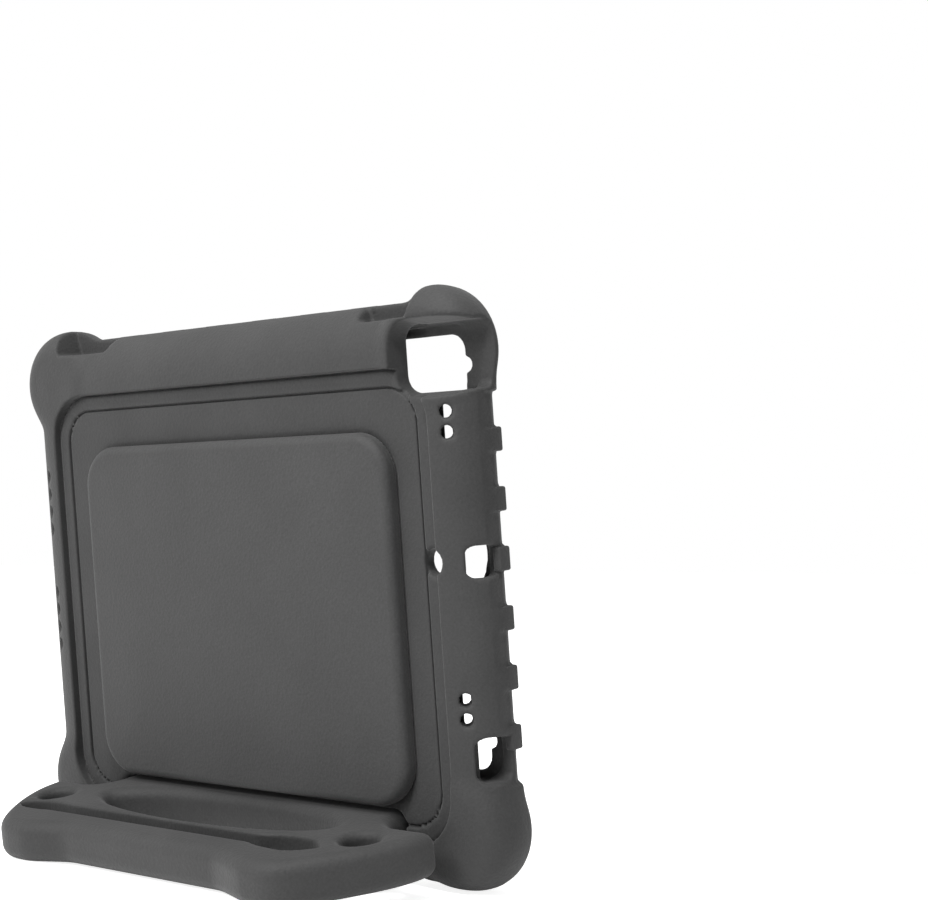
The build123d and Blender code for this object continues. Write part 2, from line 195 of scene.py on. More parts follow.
def surface_net(field: Field, axes: tuple[Array, Array, Array]) -> tuple[Array, Array]:
    """Meshes a field's zero level on a grid: vertices, and faces of four that point outwards."""
    grid = [axis.reshape([-1 if k == n else 1 for k in range(3)]) for n, axis in enumerate(axes)]
    values = field(*grid).astype(np.float32)
    values = np.broadcast_to(values, [len(axis) for axis in axes])
    inside = values < 0
    shape = tuple(size - 1 for size in values.shape)
    corners = [(i, j, k) for i in (0, 1) for j in (0, 1) for k in (0, 1)]

    def at(volume: Array, corner: tuple[int, int, int]) -> Array:
        """The volume's values at one corner of every cell."""
        return volume[tuple(slice(c, c + size) for c, size in zip(corner, shape))]

    count = sum(at(inside, corner).astype(np.int8) for corner in corners)
    cells = np.argwhere((count > 0) & (count < 8))
    number = np.full(shape, -1, dtype=np.int64)
    number[tuple(cells.T)] = np.arange(len(cells))

    total = np.zeros((len(cells), 3))
    hits = np.zeros(len(cells))
    for corner in corners:
        for axis in range(3):
            if corner[axis]:
                continue
            other = tuple(c + (1 if n == axis else 0) for n, c in enumerate(corner))
            a_at, b_at = cells + corner, cells + other
            a, b = values[tuple(a_at.T)], values[tuple(b_at.T)]
            crossing = (a < 0) != (b < 0)
            share = np.where(crossing, a / np.where(crossing, a - b, 1.0), 0.0)
            point = np.stack([axes[n][a_at[:, n]] for n in range(3)], axis=1)
            point[:, axis] += share * (axes[axis][b_at[:, axis]] - axes[axis][a_at[:, axis]])
            total += point * crossing[:, None]
            hits += crossing
    vertices = total / hits[:, None]

    faces = []
    for axis in range(3):
        low = [slice(None)] * 3
        high = [slice(None)] * 3
        low[axis], high[axis] = slice(0, -1), slice(1, None)
        first, second = inside[tuple(low)], inside[tuple(high)]
        edges = np.argwhere(first != second)
        one, two = [n for n in range(3) if n != axis]
        keep = (edges[:, one] > 0) & (edges[:, two] > 0)
        keep &= (edges[:, one] < shape[one]) & (edges[:, two] < shape[two])
        edges = edges[keep]
        ring = []
        for shift_one, shift_two in ((1, 1), (0, 1), (0, 0), (1, 0)):
            cell = edges.copy()
            cell[:, one] -= shift_one
            cell[:, two] -= shift_two
            ring.append(number[tuple(cell.T)])
        quads = np.stack(ring, axis=1)
        outwards = first[tuple(edges.T)]
        if axis == 1:
            outwards = ~outwards
        quads[outwards] = quads[outwards][:, ::-1]
        faces.append(quads)
    return vertices, np.concatenate(faces)[:, ::-1]


def settle(vertices: Array, field: Field, reach: float, rounds: int = 3) -> Array:
    """Moves vertices onto a field's zero level.

    Args:
        vertices: The vertices, near the level.
        field: The distance field.
        reach: The furthest that a vertex may move in a round.
        rounds: How many times to move.

    Returns:
        The moved vertices.
    """
    delta = 0.05
    for _ in range(rounds):
        x, y, z = vertices.T
        here = field(x, y, z)
        slope = np.stack([field(x + delta, y, z), field(x, y + delta, z), field(x, y, z + delta)], axis=1)
        slope = (slope - here[:, None]) / delta
        steep = np.maximum((slope**2).sum(axis=1), 0.25)
        move = slope * (here / steep)[:, None]
        length = np.maximum(np.linalg.norm(move, axis=1), 1e-9)
        vertices = vertices - move * np.minimum(1.0, reach / length)[:, None]
    return vertices


# ---- frames


@dataclass(frozen=True)
class Stance:
    """Where the case and the handle stand: the numbers that the two frames are worked out from."""

    lean: float = 7.0
    droop: float = 2.2
    notch_floor: float = -99.8
    hinge_below_notch: float = 9.2
    hinge_depth: float = 9.0
    tab_gap: float = 0.4
    handle_reach: float = 87.6
    handle_thickness: float = 17.6
    handle_round: float = 6.0
    shell_depth: float = 19.8
    front_round: float = 4.5
    border_rise: float = 2.5

    @property
    def hinge_up(self) -> float:
        """Height of the hinge above the tablet's middle, along the case."""
        return self.notch_floor - self.hinge_below_notch

    @property
    def overhang(self) -> float:
        """How far the tab reaches past the hinge."""
        return self.hinge_below_notch - self.tab_gap

    def handle_point(self, reach: float, rise: float) -> Pair:
        """A point of the handle as (how far back, how far up) in the case's frame."""
        c, s = cos(radians(self.droop)), sin(radians(self.droop))
        return reach * c + rise * s - self.hinge_depth, self.hinge_up - reach * s + rise * c

    def setback(self, back: float, up: float) -> float:
        """How far a case point is behind the case frame's origin, along the floor."""
        return back * cos(radians(self.lean)) + up * sin(radians(self.lean))

    def level(self, back: float, up: float) -> float:
        """How high a case point is above the case frame's origin."""
        return up * cos(radians(self.lean)) - back * sin(radians(self.lean))

    @property
    def floor(self) -> float:
        """Level of the floor under the handle's far edge."""
        reach = self.handle_reach - self.overhang - self.handle_round
        rise = self.handle_thickness / 2 - self.handle_round
        return self.level(*self.handle_point(reach, -rise)) - self.handle_round

    @property
    def ear_reach(self) -> float:
        """How far the ears reach below the hinge, rounded off about it, to rest on the floor."""
        return self.level(-self.hinge_depth, self.hinge_up) - self.floor

    @property
    def ear_end(self) -> float:
        """Where the ears end, along the case."""
        return self.hinge_up - self.ear_reach

    @property
    def middle(self) -> Pair:
        """The case frame's origin in the row frame, as (y, z)."""
        reach = self.handle_reach - self.overhang - self.handle_round
        rise = self.handle_thickness / 2 - self.handle_round
        rearmost = self.setback(*self.handle_point(reach, rise)) + self.handle_round
        foremost = self.setback(self.front_round - self.shell_depth, self.ear_end + self.front_round)
        return -(rearmost + foremost - self.front_round) / 2, -self.floor

    @property
    def place(self) -> Matrix:
        """The case frame's place in the row frame, in metres."""
        y, z = self.middle
        return Matrix.Translation((0.0, y * MM, z * MM)) @ Matrix.Rotation(-radians(self.lean), 4, "X")

    def case_to_row(self, across: Array, up: Array, forward: Array) -> Array:
        """Case coordinates in millimetres to row coordinates in metres."""
        c, s = cos(radians(self.lean)), sin(radians(self.lean))
        y, z = self.middle
        return np.stack([across, y - forward * c + up * s, z + forward * s + up * c], axis=-1) * MM

    def handle_to_row(self, across: Array, reach: Array, rise: Array) -> Array:
        """Handle coordinates in millimetres to row coordinates in metres."""
        back, up = self.handle_point(reach, rise)
        return self.case_to_row(across, up, -back)


# ---- materials


def feed(tree: Tree, node: Node, inputs: dict) -> None:
    """Sets a node's inputs, by name or number, or links them to the sockets that feed them."""
    for name, value in inputs.items():
        if isinstance(value, Socket):
            tree.links.new(value, node.inputs[name])
        else:
            node.inputs[name].default_value = value


def add_node(tree: Tree, kind: str, inputs: dict | None = None, **options: object) -> Node:
    """Adds a node to a tree.

    Args:
        tree: The node tree.
        kind: The node's type.
        inputs: Its sockets by name or number, each with its value or the socket that feeds it.
        options: The node's own settings, made before the inputs.

    Returns:
        The new node.
    """
    node = tree.nodes.new(kind)
    for option, value in options.items():
        setattr(node, option, value)
    feed(tree, node, inputs or {})
    return node


def new_material(name: str) -> tuple[Material, Tree, Node]:
    """Makes a material, and returns it with its tree and its shader."""
    material = bpy.data.materials.new(name)
    material.use_nodes = True
    return material, material.node_tree, material.node_tree.nodes["Principled BSDF"]


def noise(tree: Tree, place: Socket, scale: float, detail: float,
          rough: float) -> Socket:
    """Adds a noise pattern of scale cells to the metre, and returns its strength."""
    settings = {"Vector": place, "Scale": scale, "Detail": detail, "Roughness": rough}
    return add_node(tree, "ShaderNodeTexNoise", settings).outputs["Fac"]


def shades(tree: Tree, share: Socket, grey: float, dark: float, pale: float,
           ends: Pair = (0.0, 1.0)) -> Socket:
    """Adds a ramp between a darker and a paler shade of a grey, and returns its colour."""
    node = add_node(tree, "ShaderNodeValToRGB", {"Fac": share})
    for stop, at, gain in zip(node.color_ramp.elements, ends, (dark, pale)):
        stop.position, stop.color = at, (grey * gain, grey * gain, grey * gain, 1)
    return node.outputs["Color"]


def spread(tree: Tree, share: Socket, low: float, high: float,
           ends: Pair = (0.0, 1.0)) -> Socket:
    """Adds a map from the range of ends to the range from low to high."""
    settings = {"Value": share, "From Min": ends[0], "From Max": ends[1], "To Min": low, "To Max": high}
    return add_node(tree, "ShaderNodeMapRange", settings).outputs["Result"]


@dataclass(frozen=True)
class Foam:
    """Moulded closed-cell foam: matt, with a fine pebbled skin, soft mottling and a painted highlight on its
    convex crests.
    """

    name: str
    grey: float
    mottle: float = 0.15
    mottle_scale: float = 26.0
    mottle_ends: Pair = (0.34, 0.68)
    roughness: Pair = (0.58, 0.76)
    sheen: float = 0.12
    sheen_roughness: float = 0.55
    specular: float = 0.34
    grain_scale: float = 1100.0
    pebble_share: float = 0.6
    grain_depth: float = 0.00011
    grain_strength: float = 0.8
    speck: float = 0.5
    # The painted highlight: convex crests are mixed towards a paler grey, where light catches the rounded edges.
    painted_crest_highlight: float = 0.14
    painted_highlight_ends: Pair = (0.53, 0.64)
    painted_highlight_gain: float = 2.4

    def material(self) -> Material:
        """Builds the foam's node material."""
        material, tree, shader = new_material(self.name)
        place = add_node(tree, "ShaderNodeTexCoord").outputs["Object"]
        broad = noise(tree, place, self.mottle_scale, 4.0, 0.55)
        cells = noise(tree, place, self.grain_scale, 2.0, 0.5)
        pebble = add_node(tree, "ShaderNodeTexVoronoi",
                          {"Vector": place, "Scale": self.grain_scale * self.pebble_share})
        tint = shades(tree, broad, self.grey, 1 - self.mottle, 1 + self.mottle, self.mottle_ends)
        speck = add_node(tree, "ShaderNodeMix", {"Factor": self.speck, "A": tint, "B": cells},
                         data_type="RGBA", blend_type="MULTIPLY")
        # Painted highlight: pointiness finds the convex crests, and their colour is lightened there as light on
        # the rounded edges.
        crest = add_node(tree, "ShaderNodeNewGeometry").outputs["Pointiness"]
        highlight_grey = self.grey * self.painted_highlight_gain
        colour = add_node(tree, "ShaderNodeMix", {
            "Factor": spread(tree, crest, 0.0, self.painted_crest_highlight, self.painted_highlight_ends),
            "A": speck.outputs["Result"],
            "B": (highlight_grey, highlight_grey, highlight_grey, 1),
        }, data_type="RGBA", blend_type="MIX")
        height = add_node(tree, "ShaderNodeMath", {0: pebble.outputs["Distance"], 1: cells}, operation="ADD")
        bump = add_node(tree, "ShaderNodeBump", {"Strength": self.grain_strength, "Distance": self.grain_depth,
                                                 "Height": height.outputs[0]})
        feed(tree, shader, {
            "Base Color": colour.outputs["Result"],
            "Roughness": spread(tree, broad, *self.roughness),
            "Sheen Weight": self.sheen,
            "Sheen Roughness": self.sheen_roughness,
            "Specular IOR Level": self.specular,
            "Normal": bump.outputs["Normal"],
        })
        return material


@dataclass(frozen=True)
class Plastic:
    """Moulded plastic of the hinge, with faint turning marks."""

    name: str
    grey: float
    cloud_scale: float = 420.0
    roughness: Pair = (0.36, 0.52)
    mark_scale: float = 900.0
    mark_strength: float = 0.25
    mark_depth: float = 0.00003

    def material(self) -> Material:
        """Builds the plastic's node material."""
        material, tree, shader = new_material(self.name)
        place = add_node(tree, "ShaderNodeTexCoord").outputs["Object"]
        cloud = noise(tree, place, self.cloud_scale, 3.0, 0.5)
        marks = add_node(tree, "ShaderNodeTexWave", {"Vector": place, "Scale": self.mark_scale},
                         bands_direction="X")
        bump = add_node(tree, "ShaderNodeBump", {"Strength": self.mark_strength, "Distance": self.mark_depth,
                                                 "Height": marks.outputs["Fac"]})
        feed(tree, shader, {
            "Base Color": shades(tree, cloud, self.grey, 0.8, 1.25),
            "Roughness": spread(tree, cloud, *self.roughness),
            "Normal": bump.outputs["Normal"],
        })
        return material


# ---- pieces


def add_object(name: str, data: object) -> Piece:
    """Makes an object of a mesh, light or camera and puts it in the scene, at the origin."""
    made = bpy.data.objects.new(name, data)
    bpy.context.scene.collection.objects.link(made)
    return made


def net_piece(name: str, field: Field, axes: tuple[Array, Array, Array], reach: float,
              to_row: Callable[..., Array], foam: Material) -> Piece:
    """Meshes a field as a smooth-shaded piece.

    Args:
        name: The piece's name.
        field: Its distance field.
        axes: The grid's positions along each axis.
        reach: The furthest that a vertex may settle in a round.
        to_row: Turns the field's coordinates into metres in the row frame.
        foam: The piece's material.

    Returns:
        The new object, at the origin.
    """
    vertices, faces = surface_net(field, axes)
    points = to_row(*settle(vertices, field, reach).T)
    mesh = bpy.data.meshes.new(name)
    mesh.from_pydata(points.tolist(), [], faces.tolist())
    mesh.shade_smooth()
    mesh.materials.append(foam)
    mesh.validate()
    mesh.update()
    log.info("%s: %d vertices, %d faces", name, len(points), len(faces))
    return add_object(name, mesh)


@dataclass(frozen=True)
class Panel:
    """A rectangle with rounded corners in the plane of the back."""

    half: float
    high: float
    low: float
    radius: float
    middle: float = 0.0

    def plan(self, across: Array, up: Array) -> Array:
        """Flat distance to the panel's edge."""
        mid, half_up = (self.high + self.low) / 2, (self.high - self.low) / 2
        return round_box(across - self.middle, up - mid, self.half, half_up, self.radius)


@dataclass(frozen=True)
class Recess:
    """A recess from behind: how deep it is, and how its floor and its rim are rounded."""

    depth: float
    floor_round: float
    rim_round: float

    def cut(self, shell: Array, plan: Array, forward: Array) -> Array:
        """Cuts the recess of a plan from the shell."""
        return round_cut(shell, round_and(plan, forward - self.depth, self.floor_round), self.rim_round)


@dataclass(frozen=True)
class Groove:
    """A thin line that runs round inside the border, inset from its edge."""

    inset: float
    width: float
    depth: float
    soft: float = 0.3

    def cut(self, shell: Array, plan: Array, forward: Array) -> Array:
        """Cuts the groove from the shell."""
        line = np.abs(plan + self.inset) - self.width / 2
        return round_cut(shell, round_and(line, forward - self.depth, self.soft), self.soft)


@dataclass(frozen=True)
class SideOpening:
    """An opening through a side wall: which wall, its ends up the case and its span forward."""

    wall: int
    low: float
    high: float
    first: float
    last: float
    radius: float

    def field(self, up: Array, forward: Array) -> Array:
        """Flat distance to the opening's edge."""
        return round_box(up - (self.low + self.high) / 2, forward - (self.first + self.last) / 2,
                         (self.high - self.low) / 2, (self.last - self.first) / 2, self.radius)


@dataclass(frozen=True)
class SoundHoles:
    """A row of slanting holes through the corner between a side wall and the back."""

    wall: int
    at: float
    ups: tuple[float, ...]
    radius: float = 2.6
    half_length: float = 9.5

    def field(self, across: Array, up: Array, forward: Array) -> Array:
        """Distance to the nearest hole of the row."""
        along = self.wall * across - self.at
        slant, run = (along + forward) / sqrt(2), np.abs(along - forward) / sqrt(2)
        holes = [np.hypot(slant, up - hole_up) - self.radius for hole_up in self.ups]
        return np.maximum(np.minimum.reduce(holes), run - self.half_length)


@dataclass(frozen=True)
class Grips:
    """A row of scoops along the front edge of a wall."""

    wall: float
    length: float
    pitch: float
    start: float
    middle: float = 0.0
    most: int = 3
    bite: float = 1.5
    slope_from: float = 14.5
    slope: float = 0.62
    end_round: float = 1.6
    floor_round: float = 0.9

    def field(self, along: Array, outward: Array, forward: Array) -> Array:
        """Distance to the nearest scoop."""
        along = along - self.middle
        near = along - self.pitch * np.clip(np.round(along / self.pitch), -self.most, self.most)
        deeper = np.maximum(forward - self.slope_from, 0.0) * self.slope
        span = round_and(np.abs(near) - self.length / 2, self.start - forward, self.end_round)
        return round_and(span, self.wall - self.bite - deeper - outward, self.floor_round)


@dataclass
class Shell:
    """The body of the case: border, bay, window, openings, grips and ears."""

    stance: Stance
    side: float = 132.7
    top: float = 98.0
    corner: Pair = (110.4, 78.0)
    corner_r: float = 24.5
    ear_corner_r: float = 25.0
    side_blend: float = 40.0
    top_blend: float = 12.0
    side_share: float = 0.7
    share_fade: Pair = (90.0, 112.0)
    rear_round: float = 16.0
    front_roll: float = 5.0
    corner_swell: float = 0.4
    corner_round: float = 11.0
    corner_blend: float = 3.0
    notch_half: float = 84.7
    notch_r: float = 6.0
    ear_inner_r: float = 10.0
    notch_round: float = 3.0
    ear_rim: float = 1.5
    relief: Triple = (94.2, 10.9, 9.6)
    bay: Triple = (125.6, 87.35, 10.0)
    back_wall: float = 7.0
    bay_depth: float = 7.7
    bay_round: float = 0.8
    window: Triple = (119.5, 83.75, 6.4)
    window_rim: float = 0.7
    window_start: float = 9.0
    bump_r: float = 19.0
    bump_reach: float = 4.3
    bump_blend: float = 2.0
    window_notch: Pair = (72.0, 3.0)
    bevel: float = 6.0
    bevel_depth: float = 2.3
    bevel_rim: float = 2.2
    field: Panel = Panel(112.6, 72.6, -112.0, 22.0)
    field_step: Recess = Recess(0.35, 0.4, 0.9)
    band_inset: float = 7.2
    band_step: Recess = Recess(0.9, 0.6, 0.5)
    grooves: tuple[Groove, ...] = (Groove(0.3, 0.8, 1.3), Groove(7.2, 1.0, 2.0))
    pad_seat: Panel = Panel(92.1, 49.3, -98.2, 18.4, -1.5)
    seat_step: Recess = Recess(1.5, 0.4, 1.0)
    camera: Triple = (-98.3, 62.6, 88.6)
    camera_r: float = 7.0
    camera_flare: float = 2.2
    camera_step: Recess = Recess(14.6, 4.0, 1.3)
    round_hole: Triple = (-110.0, -2.0, 5.3)
    round_hole_rim: float = 1.0
    side_openings: tuple[SideOpening, ...] = (
        SideOpening(-1, -8.4, 3.8, 2.0, 13.5, 3.0),
        SideOpening(-1, -85.8, -68.6, 1.4, 13.5, 3.5),
        SideOpening(1, -12.6, 10.7, 4.0, 13.0, 3.5),
    )
    opening_start: float = 120.6
    opening_rim: float = 1.6
    top_openings: tuple[Pair, ...] = ((-105.0, -77.0), (79.0, 105.0))
    top_low: float = 91.4
    top_end: Triple = (0.8, 0.3, 91.8)
    top_end_round: float = 1.6
    top_step: Recess = Recess(12.0, 1.0, 0.8)
    top_inner: tuple[float, float, float, float] = (82.0, 9.2, 2.2, 0.6)
    sound_holes: tuple[SoundHoles, ...] = (
        SoundHoles(-1, 121.2, (54.9, 47.0, -54.0, -61.6)),
        SoundHoles(1, 123.0, (36.7, 28.5, 20.4, 12.2, -17.0, -25.1, -33.1, -41.2)),
    )
    hole_rim: float = 0.9
    side_grips: Grips = Grips(132.7, 13.6, 22.6, 7.0, -13.4)
    top_grips: Grips = Grips(98.0, 13.4, 28.6, 13.5)
    far: float = 160.0
    deep: float = 100.0

    def outline(self) -> Outline:
        """The shell's outline: straight edges with a bulge at each corner, down to the ears."""
        across, up = self.corner
        ear_up = self.stance.ear_end + self.ear_corner_r

        def reach(rise: float, radius: float, blend: float) -> float:
            """How far a blend leaves its straight edge from the bulge's middle."""
            return sqrt((radius - rise) * (radius + rise + 2 * blend))

        def angle(rise: float, radius: float, blend: float) -> float:
            """How far round the blend arc turns, in degrees."""
            return np.degrees(np.arctan2(reach(rise, radius, blend), rise + blend))

        top_rise, side_rise = self.top - up, self.side - across
        top_turn = angle(top_rise, self.corner_r, self.top_blend)
        side_turn = angle(side_rise, self.corner_r, self.side_blend)
        ear_turn = angle(side_rise, self.ear_corner_r, self.side_blend)
        top_start = across - reach(top_rise, self.corner_r, self.top_blend)
        side_start = up - reach(side_rise, self.corner_r, self.side_blend)
        side_end = ear_up + reach(side_rise, self.ear_corner_r, self.side_blend)
        half = [(0.0, self.top)]
        half += arc((top_start, self.top + self.top_blend), self.top_blend, -90, -90 + top_turn, 6)
        half += arc(self.corner, self.corner_r, 90 + top_turn, -side_turn, 5)
        half += arc((self.side + self.side_blend, side_start), self.side_blend, 180 - side_turn, 180, 4)
        half += arc((self.side + self.side_blend, side_end), self.side_blend, 180, 180 + ear_turn, 4)
        half += arc((across, ear_up), self.ear_corner_r, ear_turn, -90, 5)
        half.append((0.0, self.stance.ear_end))
        return mirrored(half)

    def corner_pucks(self, across: Array, up: Array, forward: Array) -> Array:
        """The soft swellings at the four corners."""
        depth = (self.stance.shell_depth + self.stance.border_rise) / 2
        mid = (self.stance.shell_depth - self.stance.border_rise) / 2
        slab = np.abs(forward - mid) - depth - self.corner_swell
        upper = np.hypot(np.abs(across) - self.corner[0], up - self.corner[1]) - self.corner_r
        ear_up = self.stance.ear_end + self.ear_corner_r
        lower = np.hypot(np.abs(across) - self.corner[0], up - ear_up) - self.ear_corner_r
        return round_and(np.minimum(upper, lower), slab, self.corner_round)

    def solid(self, edge: Array, across: Array, up: Array, forward: Array) -> Array:
        """The shell before any cut: its outline, rolled behind and in front, and its corner bulges."""
        share = self.side_share + (1 - self.side_share) * ramp(-up, *self.share_fade)
        rear = round_and(edge * share, -forward - self.stance.border_rise, self.rear_round)
        front = round_and(edge, forward - self.stance.shell_depth, self.front_roll)
        return soft_or(np.maximum(rear, front), self.corner_pucks(across, up, forward), self.corner_blend)

    def cut_back(self, shell: Array, across: Array, up: Array, forward: Array) -> Array:
        """Cuts the field inside the raised border, the band and lines round it, and the pad's seat."""
        flat = self.field.plan(across, up)
        shell = self.field_step.cut(shell, flat, forward)
        shell = self.band_step.cut(shell, flat + self.band_inset, forward)
        for groove in self.grooves:
            shell = groove.cut(shell, flat, forward)
        return self.seat_step.cut(shell, self.pad_seat.plan(across, up), forward)

    def cut_notch(self, shell: Array, across: Array, up: Array, forward: Array) -> Array:
        """Cuts the notch for the handle's tab, flared below, and relieves the ears round the hinge."""
        stance, side = self.stance, np.abs(across)
        notch = round_box(side, up - stance.notch_floor + self.deep, self.notch_half, self.deep, self.notch_r)
        notch = round_or(notch, up - stance.ear_end, self.ear_inner_r)
        shell = round_cut(shell, notch, self.notch_round)
        swing = np.hypot(forward - stance.hinge_depth, up - stance.hinge_up)
        below = np.maximum(forward - stance.hinge_depth, up - stance.hinge_up)
        shell = round_cut(shell, np.maximum(stance.ear_reach - swing, below), self.ear_rim)
        out, far, radius = self.relief
        relief = np.maximum(side - out, far - swing)
        relief = np.maximum(relief, radius - np.hypot(side - out, swing - far))
        shell = np.maximum(shell, -np.maximum(relief, below))
        return np.maximum(shell, -np.maximum(swing - stance.hinge_below_notch, side - self.notch_half))

    def cut_bay(self, shell: Array, across: Array, up: Array, forward: Array) -> Array:
        """Cuts the tablet's bay, and the window with its bump, its notches and its bevel."""
        half, high, radius = self.bay
        bay = round_box(across, up, half, high, radius)
        slab = np.abs(forward - self.back_wall - self.bay_depth / 2) - self.bay_depth / 2
        shell = round_cut(shell, round_and(bay, slab, self.bay_round), self.bay_round)
        half, high, radius = self.window
        pane = round_box(across, up, half, high, radius)
        bump = np.hypot(across + half - self.bump_r + self.bump_reach, up) - self.bump_r
        notch_up, notch_r = self.window_notch
        notches = np.hypot(across + half, np.abs(up) - notch_up) - notch_r
        edge = soft_or(np.minimum(pane, notches), bump, self.bump_blend)
        shell = round_cut(shell, np.maximum(edge, self.window_start - forward), self.window_rim)
        slope = self.bevel / self.bevel_depth
        start = self.stance.shell_depth - self.bevel_depth
        bevel = (pane - (forward - start) * slope) / sqrt(1 + slope**2)
        return round_cut(shell, np.maximum(bevel, start - 1 - forward), self.bevel_rim)

    def cut_openings(self, shell: Array, across: Array, up: Array, forward: Array) -> Array:
        """Cuts the openings for the camera, the buttons, the sockets and the sound."""
        # The camera's opening flares outwards and wraps round the side wall
        inner, low, high = self.camera
        draft = np.clip((self.back_wall - forward) / (self.back_wall + self.stance.border_rise), 0.0, 1.0)
        mouth = round_box(across + self.far, up - (low + high) / 2, self.far + inner, (high - low) / 2,
                          self.camera_r)
        shell = self.camera_step.cut(shell, mouth - self.camera_flare * draft, forward)
        hole_across, hole_up, hole_r = self.round_hole
        hole = np.hypot(across - hole_across, up - hole_up) - hole_r
        shell = round_cut(shell, np.maximum(hole, forward - self.back_wall - 1), self.round_hole_rim)
        for opening in self.side_openings:
            cut = np.maximum(opening.field(up, forward), self.opening_start - opening.wall * across)
            shell = round_cut(shell, cut, self.opening_rim)

        # The top wall's openings roll over at the rear and flare at the ends
        extra, flare, flare_up = self.top_end
        inner_low, middle, half, rim = self.top_inner
        for low, high in self.top_openings:
            ends = np.abs(across - (low + high) / 2) - (high - low) / 2
            cut = round_and(ends - extra - flare * (up - flare_up), self.top_low - up, self.top_end_round)
            shell = self.top_step.cut(shell, cut, forward)
            inner = np.maximum(ends, inner_low - up)
            shell = round_cut(shell, np.maximum(inner, np.abs(forward - middle) - half), rim)
        holes = [row.field(across, up, forward) for row in self.sound_holes]
        return round_cut(shell, np.minimum.reduce(holes), self.hole_rim)

    def field_at(self, outline: Callable[[Array, Array], Array]) -> Field:
        """Makes the shell's distance field from its outline's flat field."""

        def distance(across: Array, up: Array, forward: Array) -> Array:
            """Signed distance to the shell."""
            shell = self.solid(outline(across, up), across, up, forward)
            for cut in (self.cut_back, self.cut_notch, self.cut_bay, self.cut_openings):
                shell = cut(shell, across, up, forward)
            scoops = np.minimum(self.side_grips.field(up, np.abs(across), forward),
                                self.top_grips.field(across, up, forward))
            return round_cut(shell, scoops, self.hole_rim)

        return distance

    def build(self, foam: Material) -> Piece:
        """Meshes the shell, finest along the lines round the field, and sets it on the case body."""
        distance = self.field_at(polygon_field(self.outline()))
        across = spaced(both_ways([
            (0.0, 2.4), (78.0, 1.1), (92.0, 0.7), (98.6, 1.2), (103.8, 0.5), (107.0, 1.1), (111.0, 0.5),
            (114.2, 1.15), (137.5, 1.0),
        ]))
        up = spaced([
            (self.stance.ear_end - GRID_MARGIN, 1.15), (-97.0, 1.0), (-90.0, 1.8), (58.0, 1.15), (63.8, 0.5),
            (66.8, 1.1), (71.0, 0.45), (74.0, 1.15), (104.5, 1.0),
        ])
        forward = spaced([(-6.5, 0.9), (-3.0, 0.7), (3.0, 1.0), (7.6, 0.85), (23.5, 1.0)])
        piece = net_piece("case_shell", distance, (across, up, forward), 0.45, self.stance.case_to_row, foam)
        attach(piece, Body.CASE.value)
        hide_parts("body_shell")
        return piece


